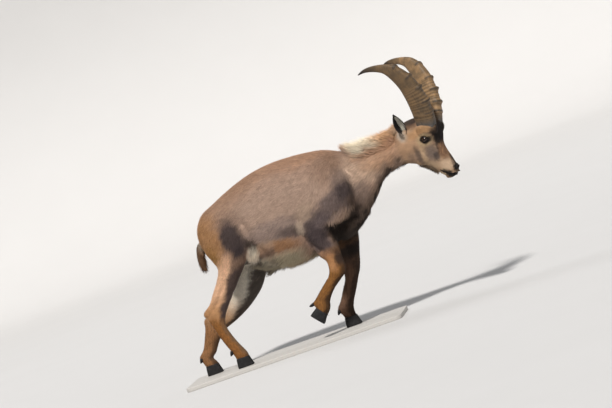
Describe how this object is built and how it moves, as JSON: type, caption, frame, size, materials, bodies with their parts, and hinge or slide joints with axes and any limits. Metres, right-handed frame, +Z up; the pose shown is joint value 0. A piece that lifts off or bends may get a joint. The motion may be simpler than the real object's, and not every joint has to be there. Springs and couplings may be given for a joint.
{
  "type": "alpine ibex",
  "caption": "Life-size still model of a young male alpine ibex walking uphill with one fore hoof lifted, with back-curved knobbed horns, on a thin flat base.",
  "frame": {"origin": "centre of the base's flat underside", "axes": "+X the way the animal walks, its longest extent; +Y its left side; +Z up"},
  "size_m": [1.5048, 0.3706, 1.0844],
  "materials": {
    "coat": "short grey-tan brown summer coat, lighter on the neck and head",
    "leg_coat": "short orange-brown leg coat with dark grey-brown fronts",
    "dark_coat": "dark brown tail hair",
    "horn": "olive to grey-brown horn, half matt, with fine growth rings",
    "hoof": "slate grey horn, half matt",
    "eye": "glossy, nearly black brown",
    "base": "board painted matt warm grey"
  },
  "bodies": {
    "root": {"torso": "coat", "neck": "coat", "head": "coat", "tail": "dark_coat", "ear_right": "coat", "ear_left": "coat", "eye_right": "eye", "eye_left": "eye", "horn_right": "horn", "horn_left": "horn", "leg_hind_right_upper": "leg_coat", "leg_hind_right_lower": "leg_coat", "hoof_hind_right_inner": "hoof", "hoof_hind_right_outer": "hoof", "dewclaw_hind_right_inner": "hoof", "dewclaw_hind_right_outer": "hoof", "leg_hind_left_upper": "leg_coat", "leg_hind_left_lower": "leg_coat", "hoof_hind_left_inner": "hoof", "hoof_hind_left_outer": "hoof", "dewclaw_hind_left_inner": "hoof", "dewclaw_hind_left_outer": "hoof", "leg_fore_right_upper": "leg_coat", "leg_fore_right_lower": "leg_coat", "hoof_fore_right_inner": "hoof", "hoof_fore_right_outer": "hoof", "dewclaw_fore_right_inner": "hoof", "dewclaw_fore_right_outer": "hoof", "leg_fore_left_upper": "leg_coat", "leg_fore_left_lower": "leg_coat", "hoof_fore_left_inner": "hoof", "hoof_fore_left_outer": "hoof", "dewclaw_fore_left_inner": "hoof", "dewclaw_fore_left_outer": "hoof", "stand_base": "base"}
  },
  "joints": []
}
